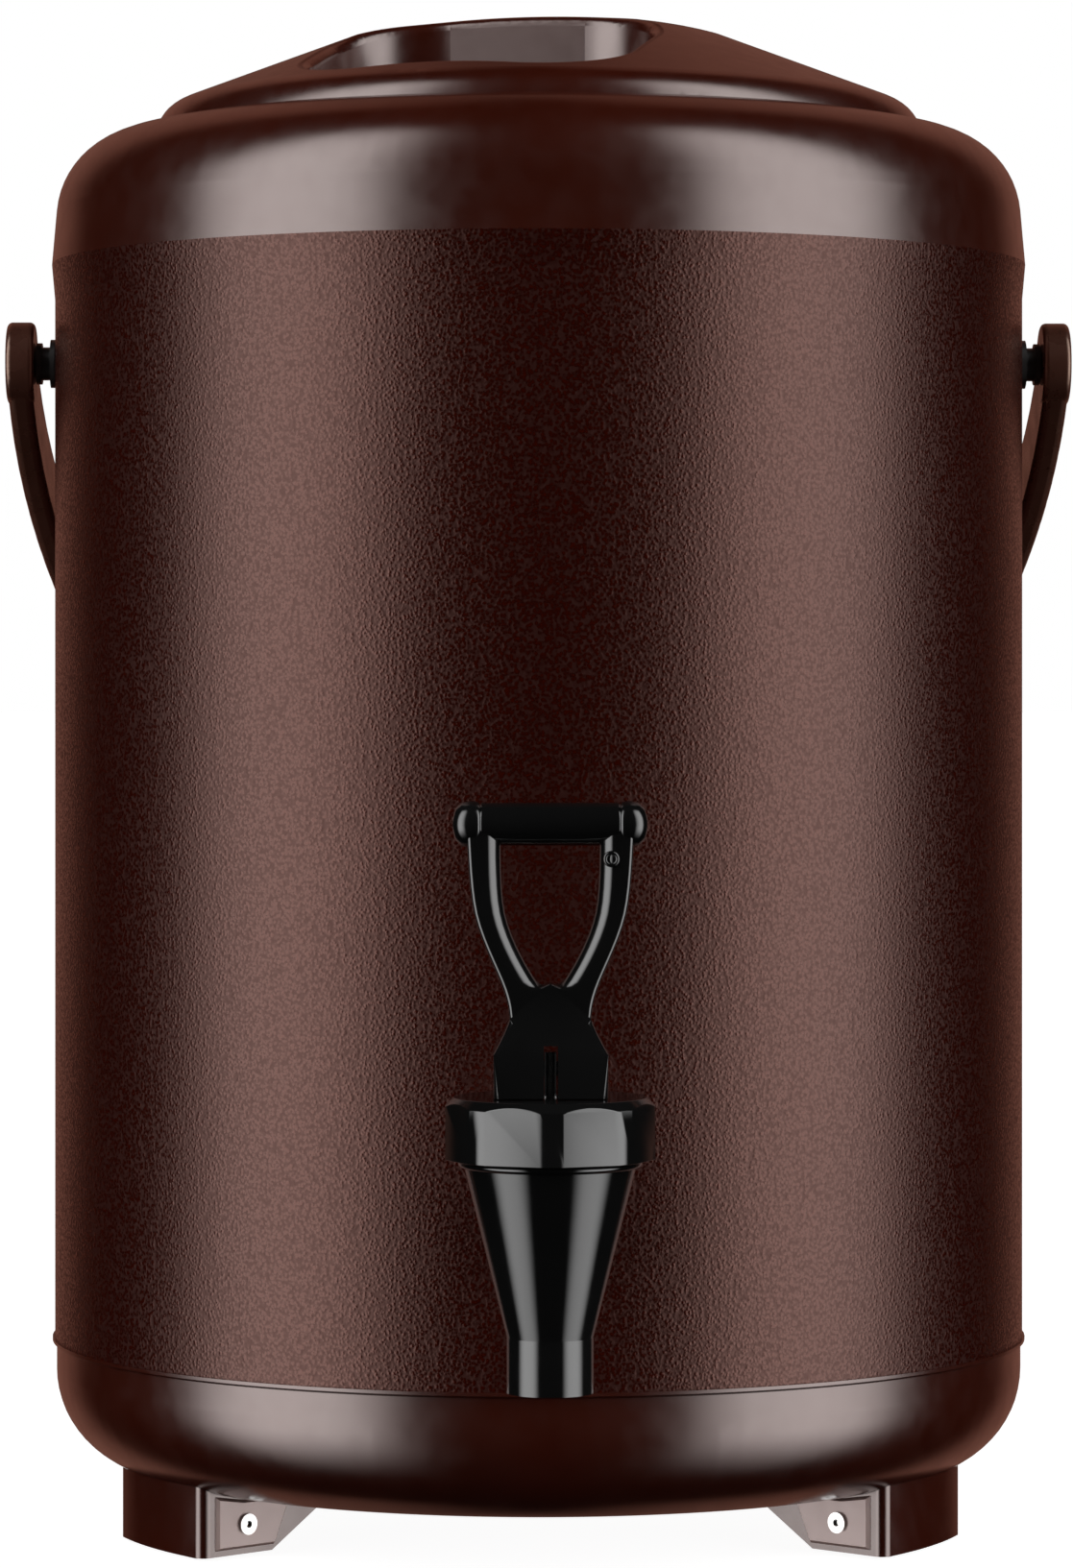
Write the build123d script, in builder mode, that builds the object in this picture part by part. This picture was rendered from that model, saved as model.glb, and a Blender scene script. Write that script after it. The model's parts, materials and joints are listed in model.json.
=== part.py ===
from build123d import *
import os
from math import asin, atan, cos, degrees, hypot, radians, sin, sqrt

# An insulated hot-drink barrel: steel tank in a coated shell, twist lid, swinging bail and lever tap.
# Lengths are millimetres. The barrel axis is Z, the floor is Z = 0 and the tap faces -Y.

# Fits and allowances
overrun = 2.0  # how far a cutting shape runs past the piece it cuts
seat_gap = 0.1  # air beside a seated piece
running_gap = 0.05  # radial clearance of a pin that turns or slides
sweep_gap = 0.4  # air between faces that pass one another
hole_gap = 0.3  # radial clearance of a bolt or shank in its hole
upright_slope = 0.01  # a wall with less slope than this counts as upright

# Outer shell
shell_radius = 140.0
shell_wall = 1.2
shell_height = 309.0
shell_flare = 0.9
shell_flare_height = 10.0
spigot_height = 8.0

# Base cover
base_height = 37.0
base_wall = 2.8
base_inset = 0.5
base_bend = 28.0
base_lip_height = 1.6
base_lip_proud = 0.7
base_boss_radius = 6.0
base_boss_height = 9.0

# Shoulder ring
shoulder_height = 39.2
shoulder_wall = 4.0
shoulder_skirt_proud = 0.9
shoulder_inset = 2.2
shoulder_drop = 4.6
shoulder_bend = 25.0
shoulder_inner_bend = 14.0
rim_width = 1.4
deck_depth = 13.8
seat_depth = 6.0
neck_inset = 9.4  # from the tank's bore in to the neck
ledge_width = 4.0
ledge_height = 4.0
bayonet_count = 3
ledge_span = 60.0

# Inner tank and its insulation
insulation_thickness = 25.8
tank_wall = 1.0
tank_floor_lift = 26.0
tank_corner = 8.0
tank_flange_width = 9.0
tank_seal_thickness = 2.0

# Feet
foot_count = 3
foot_height = 17.0
foot_inset = 14.0  # from the base cover's side in to the foot's outer face
foot_sole_length = 25.0
foot_toe_length = 49.0
foot_half_span = 11.5
foot_corner = 3.0
pad_proud = 1.0
pad_depth = 2.0
pad_margin = 3.5
foot_screw_inset = 15.5
foot_screw_radius = 2.0
foot_screw_head_radius = 3.8
foot_screw_head_height = 2.6
end_plate_thickness = 1.2
end_plate_margin = 1.6
end_plate_bevel = 35.0
end_plate_sole_length = 21.0
end_plate_top_length = 27.0
end_plate_height = 13.6
end_plate_rise = 1.6  # of its outer corner, beside the bend of the base cover
plate_screw_radius = 1.5
plate_screw_head_radius = 2.9
plate_screw_head_height = 0.9
plate_screw_length = 7.0
plate_screw_socket_radius = 1.0

# Lid
lid_inset = 2.0  # from the tank's side in to the lid's edge
lid_height = 33.5
lid_wall = 3.0
lid_turn = 17.0  # angle of the hand bar, as the lid stands in the photograph
lid_sink = 1.5  # depth of the lid's edge below the shoulder ring's crest
crown_reach_share = 0.360
crown_drop_share = 0.069
crown_edge_reach_share = 0.499
crown_edge_drop_share = 0.163
cone_reach_share = 0.937
cone_drop_share = 0.719
rim_drop_share = 0.985
pocket_margin = 17.0  # from the lid's edge in to the pocket
hand_bar_width = 44.0
pocket_width = 92.0
pocket_corner_share = 0.36
pocket_rim = 2.8
pocket_floor_lift = 3.0
pocket_wall = 2.5
plug_air = 4.6  # between the plug and the neck
plug_depth = 18.0
plug_wall = 2.5
lid_flange_thickness = 1.5
lid_gasket_width = 4.6
lug_height = 4.0
lug_span = 46.0
lid_boss_inset = 13.5
lid_boss_radius = 4.5
lid_boss_angle = 25.0
lid_screw_radius = 1.6
lid_screw_head_radius = 3.4
lid_screw_head_height = 1.6
lid_screw_length = 14.0
vent_radius = 3.5
vent_bore_radius = 1.5
vent_flange_radius = 6.0
vent_flange_height = 1.5

# Carrying bail and its pivots
pivot_drop = 28.0  # from the shoulder seam down to the pivot axis
bail_reach = 222.5  # from the pivot axis to the middle of the strap at the top of the arch
bail_rest_air = 1.1  # between the shell's back and the bail that leans there
bail_thickness = 7.2
bail_width = 22.8
bail_edge = 2.2
bail_air = 6.0  # between the shell and the bail's eye
bail_eye_radius = 12.0
bail_eye_thickness = 8.0
bail_eye_edge = 1.5
bail_tuck = 0.5  # angle by which the strap runs past the pivot, inside the eye
stud_flange_radius = 7.0
stud_flange_height = 1.4
stud_neck_radius = 4.8
stud_collar_radius = 6.0
stud_collar_height = 1.6
stud_journal_radius = 4.0
stud_head_radius = 6.5
stud_head_height = 1.8
stud_shank_length = 12.0
bush_wall = 1.5
pivot_nut_radius = 8.0
pivot_nut_height = 4.5

# Tap body and what clamps it
tap_reach = 48.0  # from the shell to the tap's upright axis
tap_height = 52.0  # from the base seam to the middle of the shank
spout_tip_radius = 11.2
spout_tip_length = 14.3
spout_taper_length = 45.6
spout_top_radius = 22.6
spout_drop = 45.6  # from the middle of the shank to the spout's mouth
spout_bore_radius = 7.0
chamber_radius = 14.0
chamber_floor_lift = 35.6
shank_radius = 11.0
shank_bore_radius = 7.0
shank_flange_radius = 17.0
shank_flange_thickness = 4.0
shank_gasket_thickness = 2.0
shank_spare = 10.0
tap_nut_radius = 18.0
tap_nut_thickness = 8.0

# Tap bonnet and valve
bonnet_radius = 28.2
bonnet_height = 16.0
bonnet_sides = 8
bonnet_corner = 3.35
bonnet_edge = 3.4
bonnet_spigot_height = 4.3
bonnet_seal_inner = 15.5
bonnet_seal_width = 3.0
bonnet_seal_height = 1.2
stem_radius = 4.0
stem_blade_thickness = 3.0
stem_blade_drop = 11.0
stem_top_rise = 4.5
cup_radius = 10.0
cup_height = 5.2
cup_socket_depth = 3.2
spring_radius = 7.6
spring_wire_radius = 0.6
spring_turns = 5

# Tap lever
lever_air = 0.3  # between the heel and the bonnet, with the valve shut
pin_lift = 7.2  # from the bonnet's top to the pin's axis
pin_radius = 2.0
pin_length = 26.0
lever_collar_half = 14.6
lever_collar_height = 11.6
lever_collar_depth = 24.0
lever_waist_half = 10.4
lever_waist_height = 20.2
lever_neck_half = 12.0
lever_neck_height = 27.6
lever_arm_half = 19.5
lever_arm_rise_share = 0.461  # of the way from the neck up to the grip bar
lever_head_half = 21.8
lever_arm_depth = 10.0
lever_bar_height = 69.9
lever_bar_radius = 6.0
lever_bar_length = 50.0
lever_bar_end = 5.0
loop_foot_half = 4.1
loop_foot_height = 29.2
loop_side_half = 11.5
loop_head_half = 12.7
lanyard_hole_radius = 0.9
lanyard_hole_side = 15.4
lanyard_hole_drop = 8.8  # from the grip bar's axis

# Heights that follow from the stack of pieces
base_z = foot_height
shell_z = base_z + base_height
shoulder_z = shell_z + shell_height
rim_z = shoulder_z + shoulder_height
deck_z = rim_z - deck_depth
seat_z = rim_z - seat_depth
flange_z = deck_z - tank_seal_thickness
tank_floor_z = shell_z + tank_floor_lift
pivot_z = shoulder_z - pivot_drop

# Radii that follow from the walls
shell_bore = shell_radius - shell_wall
spigot_radius = shell_bore - seat_gap
tank_radius = shell_bore - insulation_thickness
tank_bore = tank_radius - tank_wall
neck_radius = tank_bore - neck_inset
flange_radius = tank_radius + tank_flange_width
base_radius = shell_radius - base_inset
base_bend_reach = base_radius - base_bend
foot_radius = base_radius - foot_inset
foot_screw_reach = foot_radius - foot_screw_inset
lid_radius = tank_radius - lid_inset
rim_radius = lid_radius + sweep_gap
plug_radius = neck_radius - plug_air
plug_bore = plug_radius - plug_wall
lid_boss_reach = plug_bore - lid_boss_inset
pocket_length = lid_radius - pocket_margin - hand_bar_width / 2
pocket_reach = (hand_bar_width + pocket_length) / 2
pocket_corner = pocket_corner_share * pocket_length

front = -90.0
foot_angles = [front + (step - 0.5) * 360.0 / foot_count for step in range(foot_count)]
foot_places = ["front_left", "front_right", "rear"]

os.makedirs("parts", exist_ok=True)


def radial_plane(angle, y=0.0):
    """Upright plane through the barrel axis, or one at y: its x runs outwards, its y runs up."""
    turn = radians(angle)
    return Plane(origin=(0, y, 0), x_dir=(cos(turn), sin(turn), 0), z_dir=(sin(turn), -cos(turn), 0))


def turn_outline(points, start=0.0, span=360.0, mode=Mode.ADD, y=0.0):
    """Turn a closed outline of (radius, height) points about the barrel axis, or about one at y."""
    with BuildSketch(radial_plane(start, y)) as outline:
        with BuildLine():
            Polyline(*points, close=True)
        make_face()
    revolve(outline.sketch, axis=Axis((0, y, 0), (0, 0, 1)), revolution_arc=span, mode=mode)


def box_outline(inner, outer, low, high):
    """The four corners of a box, such as a ring's section."""
    return [(inner, low), (outer, low), (outer, high), (inner, high)]


def bar_along_x(radius, low, high, height, mode=Mode.ADD, y=0.0):
    """Round bar along X at a height on the barrel axis, or on one at y."""
    with BuildSketch(Plane.YZ.offset(low)) as section:
        with Locations((y, height)):
            Circle(radius)
    extrude(section.sketch, amount=high - low, mode=mode)


def bar_along_y(radius, low, high, height, mode=Mode.ADD):
    """Round bar along Y at a height on the barrel axis."""
    with BuildSketch(Plane.XZ.offset(-high)) as section:
        with Locations((0, height)):
            Circle(radius)
    extrude(section.sketch, amount=high - low, mode=mode)


def post(radius, x, y, low, high, mode=Mode.ADD):
    """Upright round post."""
    with BuildSketch(Plane.XY.offset(low)) as section:
        with Locations((x, y)):
            Circle(radius)
    extrude(section.sketch, amount=high - low, mode=mode)


def on_circle(reach, angle):
    """Point on a circle about the barrel axis."""
    return reach * cos(radians(angle)), reach * sin(radians(angle))


def finish(builder, name):
    """Name a finished piece and write it out."""
    builder.part.label = name
    export_step(builder.part, "parts/" + name + ".step")


tap_y = -(shell_radius + tap_reach)
tap_z = shell_z + tap_height
shank_hole_radius = shank_radius + hole_gap
stud_hole_radius = stud_journal_radius + hole_gap

# Outer shell: a coated sheet tube, flared a little where it meets the shoulder ring
with BuildPart() as outer_shell:
    flare_z = shoulder_z - shell_flare_height
    turn_outline(
        [
            (shell_bore, shell_z),
            (shell_radius, shell_z),
            (shell_radius, flare_z),
            (shell_radius + shell_flare, shoulder_z),
            (shell_bore + shell_flare, shoulder_z),
            (shell_bore, flare_z),
        ]
    )
    bar_along_y(shank_hole_radius, -(shell_radius + overrun), -tank_bore, tap_z, mode=Mode.SUBTRACT)
    stud_hole_end = shell_radius + overrun
    bar_along_x(stud_hole_radius, -stud_hole_end, stud_hole_end, pivot_z, mode=Mode.SUBTRACT)
finish(outer_shell, "outer_shell")

# Base cover: a bowl that closes the barrel below and carries the feet
with BuildPart() as base_cover:
    with BuildSketch(Plane.XZ):
        with BuildLine():
            floor_line = Line((0, base_z), (base_bend_reach, base_z))
            bowl_arc = TangentArc(floor_line @ 1, (base_radius, base_z + base_bend), tangent=floor_line % 1)
            lip_z = shell_z - base_lip_height
            inner_radius = base_radius - base_wall
            inner_z = base_z + base_wall
            wall_line = Polyline(
                bowl_arc @ 1,
                (base_radius, lip_z),
                (shell_radius + base_lip_proud, lip_z + base_lip_proud),
                (shell_radius + base_lip_proud, shell_z),
                (spigot_radius, shell_z),
                (spigot_radius, shell_z + spigot_height),
                (inner_radius, shell_z + spigot_height),
                (inner_radius, base_z + base_bend),
            )
            inner_arc = TangentArc(wall_line @ 1, (base_bend_reach, inner_z), tangent=(0, -1))
            Polyline(inner_arc @ 1, (0, inner_z), (0, base_z))
        make_face()
    revolve(axis=Axis.Z)
    for angle in foot_angles:
        boss_x, boss_y = on_circle(foot_screw_reach, angle)
        boss_top = inner_z + base_boss_height
        screw_hole_top = boss_top - base_wall
        post(base_boss_radius, boss_x, boss_y, inner_z - base_wall / 2, boss_top)
        post(foot_screw_radius + seat_gap, boss_x, boss_y, base_z - overrun, screw_hole_top, Mode.SUBTRACT)
finish(base_cover, "base_cover")

# Shoulder ring: the moulded top of the barrel, with the lid's seat and the ledges of its bayonet
recess_radius = rim_radius
crest_radius = rim_radius + rim_width
corner_radius = shell_radius - shoulder_inset
corner_z = rim_z - shoulder_drop
slope = shoulder_drop / (corner_radius - crest_radius)
roof_radius = flange_radius + seat_gap
roof_z = rim_z - slope * (roof_radius - crest_radius) - shoulder_wall
inner_corner = corner_radius - shoulder_wall
inner_corner_z = rim_z - slope * (inner_corner - crest_radius) - shoulder_wall
with BuildPart() as shoulder_ring:
    with BuildSketch(Plane.XZ) as ring_section:
        with BuildLine():
            Polyline(
                (neck_radius, deck_z),
                (neck_radius, seat_z),
                (recess_radius, seat_z),
                (recess_radius, rim_z),
                (crest_radius, rim_z),
                (corner_radius, corner_z),
                (shell_radius + shoulder_skirt_proud, shoulder_z),
                (spigot_radius, shoulder_z),
                (spigot_radius, shoulder_z - spigot_height),
                (spigot_radius - shoulder_wall, shoulder_z - spigot_height),
                (inner_corner, inner_corner_z),
                (roof_radius, roof_z),
                (roof_radius, deck_z),
                close=True,
            )
        make_face()
        outer_corner = ring_section.vertices().sort_by_distance((corner_radius, corner_z))[0]
        fillet(outer_corner, shoulder_bend)
        hidden_corner = ring_section.vertices().sort_by_distance((inner_corner, inner_corner_z))[0]
        fillet(hidden_corner, shoulder_inner_bend)
    revolve(axis=Axis.Z)
    ledge_radius = neck_radius - ledge_width
    ledge_outline = box_outline(ledge_radius, recess_radius, seat_z - ledge_height, seat_z)
    for step in range(bayonet_count):
        ledge_start = lid_turn + (step + 0.5) * 360.0 / bayonet_count - ledge_span / 2
        turn_outline(ledge_outline, start=ledge_start, span=ledge_span)
finish(shoulder_ring, "shoulder_ring")

# Inner tank: a deep drawn cup, hung by its flange from the shoulder ring
with BuildPart() as inner_tank:
    floor_top = tank_floor_z + tank_wall
    with BuildSketch(Plane.XZ) as tank_section:
        with BuildLine():
            Polyline(
                (0, tank_floor_z),
                (tank_radius, tank_floor_z),
                (tank_radius, flange_z - tank_wall),
                (flange_radius, flange_z - tank_wall),
                (flange_radius, flange_z),
                (tank_bore, flange_z),
                (tank_bore, floor_top),
                (0, floor_top),
                close=True,
            )
        make_face()
        outside_corner = tank_section.vertices().sort_by_distance((tank_radius, tank_floor_z))[0]
        fillet(outside_corner, tank_corner)
        inside_corner = tank_section.vertices().sort_by_distance((tank_bore, floor_top))[0]
        fillet(inside_corner, tank_corner - tank_wall)
    revolve(axis=Axis.Z)
    bar_along_y(shank_hole_radius, -(tank_radius + overrun), 0, tap_z, mode=Mode.SUBTRACT)
finish(inner_tank, "inner_tank")

# Flat seal between the tank's flange and the shoulder ring
with BuildPart() as tank_seal:
    turn_outline(box_outline(tank_bore, flange_radius, flange_z, deck_z))
finish(tank_seal, "tank_seal")

# Insulation: foam between tank and shell, from the base cover's edge up to the shoulder ring's
foam_low = shell_z + spigot_height + seat_gap
foam_high = shoulder_z - spigot_height - seat_gap
nut_face = sqrt(shell_bore**2 - pivot_nut_radius**2) - seat_gap
stud_shank_end = shell_radius - stud_shank_length
with BuildPart() as insulation_foam:
    turn_outline(box_outline(0, spigot_radius, foam_low, foam_high))
    with BuildSketch(Plane.XZ) as tank_room:
        with BuildLine():
            Polyline(
                (0, tank_floor_z - seat_gap),
                (tank_radius + seat_gap, tank_floor_z - seat_gap),
                (tank_radius + seat_gap, foam_high + overrun),
                (0, foam_high + overrun),
                close=True,
            )
        make_face()
        room_corner = tank_room.vertices().sort_by_distance((tank_radius, tank_floor_z))[0]
        fillet(room_corner, tank_corner)
    revolve(axis=Axis.Z, mode=Mode.SUBTRACT)
    bar_along_y(shank_hole_radius, -(shell_radius + overrun), -tank_bore, tap_z, mode=Mode.SUBTRACT)
    for side in (-1, 1):
        nut_room = sorted((side * (stud_shank_end - seat_gap), side * (shell_radius + overrun)))
        bar_along_x(pivot_nut_radius + hole_gap, *nut_room, pivot_z, mode=Mode.SUBTRACT)
finish(insulation_foam, "insulation_foam")

# Feet: three moulded blocks under the base cover, each with a rubber pad and a bevelled plate on each end
sole_inner = foot_radius - foot_sole_length
toe_radius = foot_radius - foot_toe_length
pad_outer = foot_radius - pad_margin
pad_inner = sole_inner + pad_margin
pad_top = pad_proud + pad_depth
pad_half_span = foot_half_span * (pad_outer - pad_inner) / foot_sole_length
head_top = pad_top + foot_screw_head_height
plate_outer = foot_radius - foot_corner - end_plate_margin
plate_low = pad_proud + end_plate_margin
plate_high = plate_low + end_plate_height
plate_middle_reach = plate_outer - end_plate_sole_length / 2
plate_middle_z = (plate_low + plate_high) / 2


def end_face(angle, side):
    """Plane on one end of the foot at an angle. Its y runs up on side -1 and down on side +1."""
    plane = radial_plane(angle + side * foot_half_span)
    return plane if side < 0 else Plane(origin=plane.origin, x_dir=plane.x_dir, z_dir=-plane.z_dir)


def plate_screw_hole(angle, side, mode):
    """Shank of the screw in the middle of an end plate, driven into the foot."""
    with BuildSketch(end_face(angle, side)) as section:
        with Locations((plate_middle_reach, -side * plate_middle_z)):
            Circle(plate_screw_radius)
    extrude(section.sketch, amount=end_plate_thickness, mode=mode)
    extrude(section.sketch, amount=-plate_screw_length, mode=mode)


for place, angle in zip(foot_places, foot_angles):
    start = angle - foot_half_span
    span = 2 * foot_half_span
    screw_x, screw_y = on_circle(foot_screw_reach, angle)
    with BuildPart() as foot:
        turn_outline(
            [
                (foot_radius, pad_proud),
                (foot_radius, base_z + base_bend),
                (toe_radius, base_z + base_bend),
                (toe_radius, base_z - pad_proud),
                (sole_inner, pad_proud),
            ],
            start=start,
            span=span,
        )
        upright_edges = foot.edges().filter_by(Axis.Z)
        outer_edges = upright_edges.group_by(lambda edge: edge.center().X**2 + edge.center().Y**2)[-1]
        fillet(outer_edges, foot_corner)
        with BuildSketch(Plane.XZ) as bowl_room:
            with BuildLine():
                room_floor = Line((0, base_z), (base_bend_reach + seat_gap, base_z))
                room_end = (base_radius + seat_gap, base_z + base_bend)
                room_arc = TangentArc(room_floor @ 1, room_end, tangent=room_floor % 1)
                Polyline(room_arc @ 1, (base_radius + seat_gap, shell_z), (0, shell_z), (0, base_z))
            make_face()
        revolve(axis=Axis.Z, mode=Mode.SUBTRACT)
        pad_room = box_outline(pad_inner - seat_gap, pad_outer + seat_gap, 0, pad_top)
        room_half_span = pad_half_span + degrees(seat_gap / pad_inner)
        turn_outline(pad_room, angle - room_half_span, 2 * room_half_span, Mode.SUBTRACT)
        post(foot_screw_head_radius + hole_gap, screw_x, screw_y, 0, head_top, mode=Mode.SUBTRACT)
        post(foot_screw_radius + hole_gap, screw_x, screw_y, 0, base_z + overrun, mode=Mode.SUBTRACT)
        for side in (-1, 1):
            plate_screw_hole(angle, side, Mode.SUBTRACT)
    finish(foot, "foot_" + place)

    with BuildPart() as foot_pad:
        turn_outline(box_outline(pad_inner, pad_outer, 0, pad_top), angle - pad_half_span, 2 * pad_half_span)
    finish(foot_pad, "foot_pad_" + place)

# Bevelled plates on the ends of the feet
with BuildPart() as foot_end_plates:
    for angle in foot_angles:
        for side in (-1, 1):
            with BuildSketch(end_face(angle, side)) as plate_shape:
                with BuildLine():
                    Polyline(
                        (plate_outer, -side * plate_low),
                        (plate_outer - end_plate_sole_length, -side * plate_low),
                        (plate_outer - end_plate_top_length, -side * plate_high),
                        (base_bend_reach, -side * plate_high),
                        (plate_outer, -side * (plate_high + end_plate_rise)),
                        close=True,
                    )
                make_face()
            extrude(plate_shape.sketch, amount=end_plate_thickness, taper=end_plate_bevel)
            plate_screw_hole(angle, side, Mode.SUBTRACT)
finish(foot_end_plates, "foot_end_plates")

# Round-headed screws in the end plates
with BuildPart() as foot_plate_screws:
    for angle in foot_angles:
        for side in (-1, 1):
            face = end_face(angle, side)
            with BuildSketch(face.offset(end_plate_thickness)) as head:
                with Locations((plate_middle_reach, -side * plate_middle_z)):
                    Circle(plate_screw_head_radius)
                    Circle(plate_screw_socket_radius, mode=Mode.SUBTRACT)
            extrude(head.sketch, amount=plate_screw_head_height)
            plate_screw_hole(angle, side, Mode.ADD)
finish(foot_plate_screws, "foot_plate_screws")

# Screws that hold the feet up to the base cover
with BuildPart() as foot_screws:
    for angle in foot_angles:
        screw_x, screw_y = on_circle(foot_screw_reach, angle)
        post(foot_screw_head_radius, screw_x, screw_y, pad_top, head_top)
        post(foot_screw_radius, screw_x, screw_y, head_top, base_z + base_boss_height)
finish(foot_screws, "foot_screws")

# Pivot studs: one on each side of the shell, held by a nut inside it
arm_inner = shell_radius + bail_air
arm_outer = arm_inner + bail_eye_thickness
head_room = stud_head_height + 2 * sweep_gap
eye_floor = arm_outer - head_room
head_start = eye_floor + sweep_gap
collar_end = arm_inner - sweep_gap
collar_start = collar_end - stud_collar_height
flange_start = shell_radius + seat_gap
flange_end = flange_start + stud_flange_height
stud_steps = [
    (stud_journal_radius, stud_shank_end, flange_start),
    (stud_flange_radius, flange_start, flange_end),
    (stud_neck_radius, flange_end, collar_start),
    (stud_collar_radius, collar_start, collar_end),
    (stud_journal_radius, collar_end, head_start),
    (stud_head_radius, head_start, head_start + stud_head_height),
]
for name, side in (("left", -1), ("right", 1)):
    with BuildPart() as pivot_stud:
        for radius, near, far in stud_steps:
            bar_along_x(radius, *sorted((side * near, side * far)), pivot_z)
    finish(pivot_stud, "pivot_stud_" + name)

with BuildPart() as pivot_nuts:
    for side in (-1, 1):
        nut_ends = sorted((side * nut_face, side * (nut_face - pivot_nut_height)))
        with BuildSketch(Plane.YZ.offset(nut_ends[0])) as nut_shape:
            with Locations((0, pivot_z)):
                RegularPolygon(pivot_nut_radius, 6)
                Circle(stud_journal_radius + seat_gap, mode=Mode.SUBTRACT)
        extrude(nut_shape.sketch, amount=pivot_nut_height)
finish(pivot_nuts, "pivot_nuts")

# Bail: an elliptical strap arch with an eye at each end, leaning on the back of the shell
arch_inner = bail_reach - bail_thickness / 2
half_width = bail_width / 2
lean = asin((shell_radius + bail_rest_air) / hypot(arch_inner, half_width)) + atan(half_width / arch_inner)
bail_plane = Plane(origin=(0, 0, pivot_z), x_dir=(1, 0, 0), z_dir=(0, cos(lean), sin(lean)))
bush_bore = stud_journal_radius + running_gap
bush_radius = bush_bore + bush_wall
eye_bore = bush_radius + running_gap
with BuildPart() as bail_strap:
    with BuildSketch(bail_plane.offset(-half_width)):
        with BuildLine():
            arch_outer = bail_reach + bail_thickness / 2
            strap_inner = (arm_inner + arm_outer - bail_thickness) / 2
            strap_outer = strap_inner + bail_thickness
            arch_angles = {"start_angle": -bail_tuck, "arc_size": 180 + 2 * bail_tuck}
            outer_arch = EllipticalCenterArc((0, 0), strap_outer, arch_outer, **arch_angles)
            inner_arch = EllipticalCenterArc((0, 0), strap_inner, arch_inner, **arch_angles)
            Line(outer_arch @ 0, inner_arch @ 0)
            Line(outer_arch @ 1, inner_arch @ 1)
        make_face()
    extrude(amount=bail_width)
    fillet(bail_strap.edges().filter_by(GeomType.ELLIPSE), bail_edge)

with BuildPart() as bail_handle:
    bar_along_x(bail_eye_radius, arm_inner, arm_outer, pivot_z)
    bar_along_x(bail_eye_radius, -arm_outer, -arm_inner, pivot_z)
    fillet(bail_handle.edges().filter_by(GeomType.CIRCLE), bail_eye_edge)
    add(bail_strap.part)
    bar_along_x(eye_bore, -(arm_outer + overrun), arm_outer + overrun, pivot_z, mode=Mode.SUBTRACT)
    head_bore = stud_head_radius + sweep_gap
    bar_along_x(head_bore, eye_floor, arm_outer + overrun, pivot_z, mode=Mode.SUBTRACT)
    bar_along_x(head_bore, -(arm_outer + overrun), -eye_floor, pivot_z, mode=Mode.SUBTRACT)
finish(bail_handle, "bail_handle")

with BuildPart() as bail_bushes:
    for side in (-1, 1):
        bush_ends = sorted((side * arm_inner, side * eye_floor))
        bar_along_x(bush_radius, *bush_ends, pivot_z)
        bar_along_x(bush_bore, *bush_ends, pivot_z, mode=Mode.SUBTRACT)
finish(bail_bushes, "bail_bushes")

# Tap body: a tapered spout with a valve chamber, and the shank that goes through shell, foam and tank
spout_mouth_z = tap_z - spout_drop
spout_tip_z = spout_mouth_z + spout_tip_length
tap_top_z = spout_tip_z + spout_taper_length
chamber_floor_z = spout_mouth_z + chamber_floor_lift
shank_flange_face = -(shell_radius + shank_gasket_thickness)
inner_gasket_face = shank_gasket_thickness - sqrt(tank_bore**2 - shank_flange_radius**2)
tap_nut_end = inner_gasket_face + tap_nut_thickness
shank_end = tap_nut_end + shank_spare
seal_outer = bonnet_seal_inner + bonnet_seal_width
groove_floor_z = tap_top_z - bonnet_seal_height
with BuildPart() as tap_body:
    turn_outline(
        [
            (0, spout_mouth_z),
            (spout_tip_radius, spout_mouth_z),
            (spout_tip_radius, spout_tip_z),
            (spout_top_radius, tap_top_z),
            (0, tap_top_z),
        ],
        y=tap_y,
    )
    bar_along_y(shank_radius, tap_y, shank_end, tap_z)
    bar_along_y(shank_flange_radius, shank_flange_face - shank_flange_thickness, shank_flange_face, tap_z)
    bar_along_y(shank_bore_radius, tap_y, shank_end + overrun, tap_z, mode=Mode.SUBTRACT)
    post(spout_bore_radius, 0, tap_y, spout_mouth_z - overrun, tap_top_z, mode=Mode.SUBTRACT)
    post(chamber_radius, 0, tap_y, chamber_floor_z, tap_top_z + overrun, mode=Mode.SUBTRACT)
    seal_groove = box_outline(bonnet_seal_inner, seal_outer, groove_floor_z, tap_top_z + overrun)
    turn_outline(seal_groove, mode=Mode.SUBTRACT, y=tap_y)
finish(tap_body, "tap_body")

# Gaskets outside the shell and inside the tank, each curved to the wall that it seals
with BuildPart() as tap_gasket_outer:
    bar_along_y(shank_flange_radius, shank_flange_face, -tank_radius, tap_z)
    bar_along_y(shank_radius + seat_gap, shank_flange_face - overrun, 0, tap_z, mode=Mode.SUBTRACT)
    shell_room = box_outline(0, shell_radius + seat_gap, shell_z, shoulder_z)
    turn_outline(shell_room, mode=Mode.SUBTRACT)
finish(tap_gasket_outer, "tap_gasket_outer")

with BuildPart() as tap_gasket_inner:
    bar_along_y(shank_flange_radius, -tank_radius, inner_gasket_face, tap_z)
    bar_along_y(shank_radius + seat_gap, -tank_radius - overrun, 0, tap_z, mode=Mode.SUBTRACT)
    turn_outline(box_outline(0, tank_bore - seat_gap, shell_z, shoulder_z), mode=Mode.INTERSECT)
finish(tap_gasket_inner, "tap_gasket_inner")

with BuildPart() as tap_nut:
    with BuildSketch(Plane.XZ.offset(-tap_nut_end)):
        with Locations((0, tap_z)):
            RegularPolygon(tap_nut_radius, 6)
            Circle(shank_radius + seat_gap, mode=Mode.SUBTRACT)
    extrude(amount=tap_nut_thickness)
finish(tap_nut, "tap_nut")

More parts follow.
